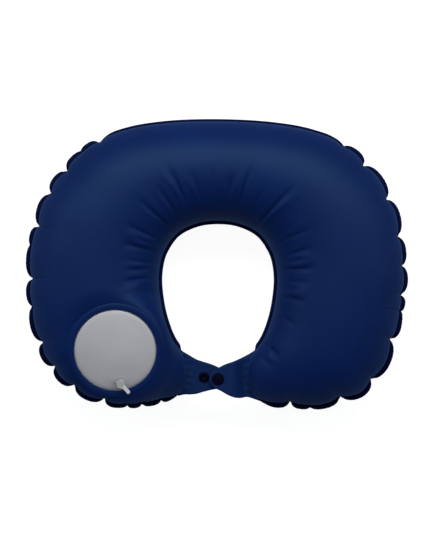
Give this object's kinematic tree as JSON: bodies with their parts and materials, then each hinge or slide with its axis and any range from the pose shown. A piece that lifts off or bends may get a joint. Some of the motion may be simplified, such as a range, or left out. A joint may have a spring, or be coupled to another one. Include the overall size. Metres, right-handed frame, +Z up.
{
  "type": "camp pillow",
  "caption": "Inflatable U-shaped camp pillow in dark navy fabric, with a round grey press pump, a clear stoppered nozzle and snap tabs that close the U.",
  "frame": {"origin": "under the middle of the outline, on the plane the pillow rests on", "axes": "+Z up with the pillow lying flat, +Y towards the back of the neck, closure towards -Y, pump on the -X lobe"},
  "size_m": [0.3822, 0.2908, 0.101],
  "materials": {
    "navy_fabric": "woven coated polyester",
    "navy_tab": "woven coated polyester, doubled",
    "grey_film": "soft grey film",
    "clear_film": "thin film, unseen inside",
    "clear_plastic": "clear, slightly milky",
    "foam": "open-cell foam",
    "black_plastic": "satin moulded",
    "navy_thread": "twisted thread"
  },
  "bodies": {
    "pillow": {"top_panel": "navy_fabric", "bottom_panel": "navy_fabric", "pump_weld_ring": "navy_fabric", "pump_cup": "clear_film", "pump_foam": "foam", "outlet_seat": "clear_film", "left_tab_root": "navy_tab", "right_tab_root": "navy_tab", "left_stitching": "navy_thread", "right_stitching": "navy_thread"},
    "disc": {"pump_disc": "grey_film", "nozzle_body": "clear_plastic"},
    "stopper_body": {"stopper": "clear_plastic"},
    "intake": {"intake_flap": "clear_film"},
    "outlet": {"outlet_flap": "clear_film"},
    "left_tab_body": {"left_tab": "navy_tab", "closing_socket": "black_plastic", "closing_socket_cap": "black_plastic", "spare_socket": "black_plastic", "spare_socket_cap": "black_plastic"},
    "right_tab_body": {"right_tab": "navy_tab", "snap_stud": "black_plastic", "snap_stud_cap": "black_plastic"}
  },
  "joints": [
    {"name": "pump_press", "type": "slide", "parent": "pillow", "child": "disc", "axis": [0, 0.1564, -0.9877], "range_m": [0, 0.0085], "stiffness_N_per_m": 600, "deforming": ["pump_foam"]},
    {"name": "stopper_lift", "type": "hinge", "parent": "disc", "child": "stopper_body", "pos_m": [-0.10102, -0.11506, 0.09523], "axis": [-0.6322, -0.7286, -0.2636], "range_deg": [0, 150]},
    {"name": "intake_flap_open", "type": "hinge", "parent": "disc", "child": "intake", "pos_m": [-0.09592, -0.11826, 0.08276], "axis": [-0.9848, -0.1715, -0.0272], "range_deg": [0, 30], "stiffness_Nm_per_rad": 0.0001},
    {"name": "outlet_flap_open", "type": "hinge", "parent": "pillow", "child": "outlet", "pos_m": [-0.10712, -0.05163, 0.06817], "axis": [0.9848, 0.1715, 0.0272], "range_deg": [0, 26], "stiffness_Nm_per_rad": 0.0001},
    {"name": "right_tab_fold", "type": "hinge", "parent": "pillow", "child": "right_tab_body", "pos_m": [0.029, -0.111, 0.0506], "axis": [0, 1, 0], "range_deg": [0, 85], "stiffness_Nm_per_rad": 0.005},
    {"name": "left_tab_fold", "type": "hinge", "parent": "pillow", "child": "left_tab_body", "pos_m": [-0.029, -0.111, 0.0494], "axis": [0, 1, 0], "range_deg": [0, 90], "stiffness_Nm_per_rad": 0.005}
  ],
  "couplings": [
    {"joint": "outlet_flap_open", "follows": "pump_press", "rad_per_m": 51.333}
  ]
}
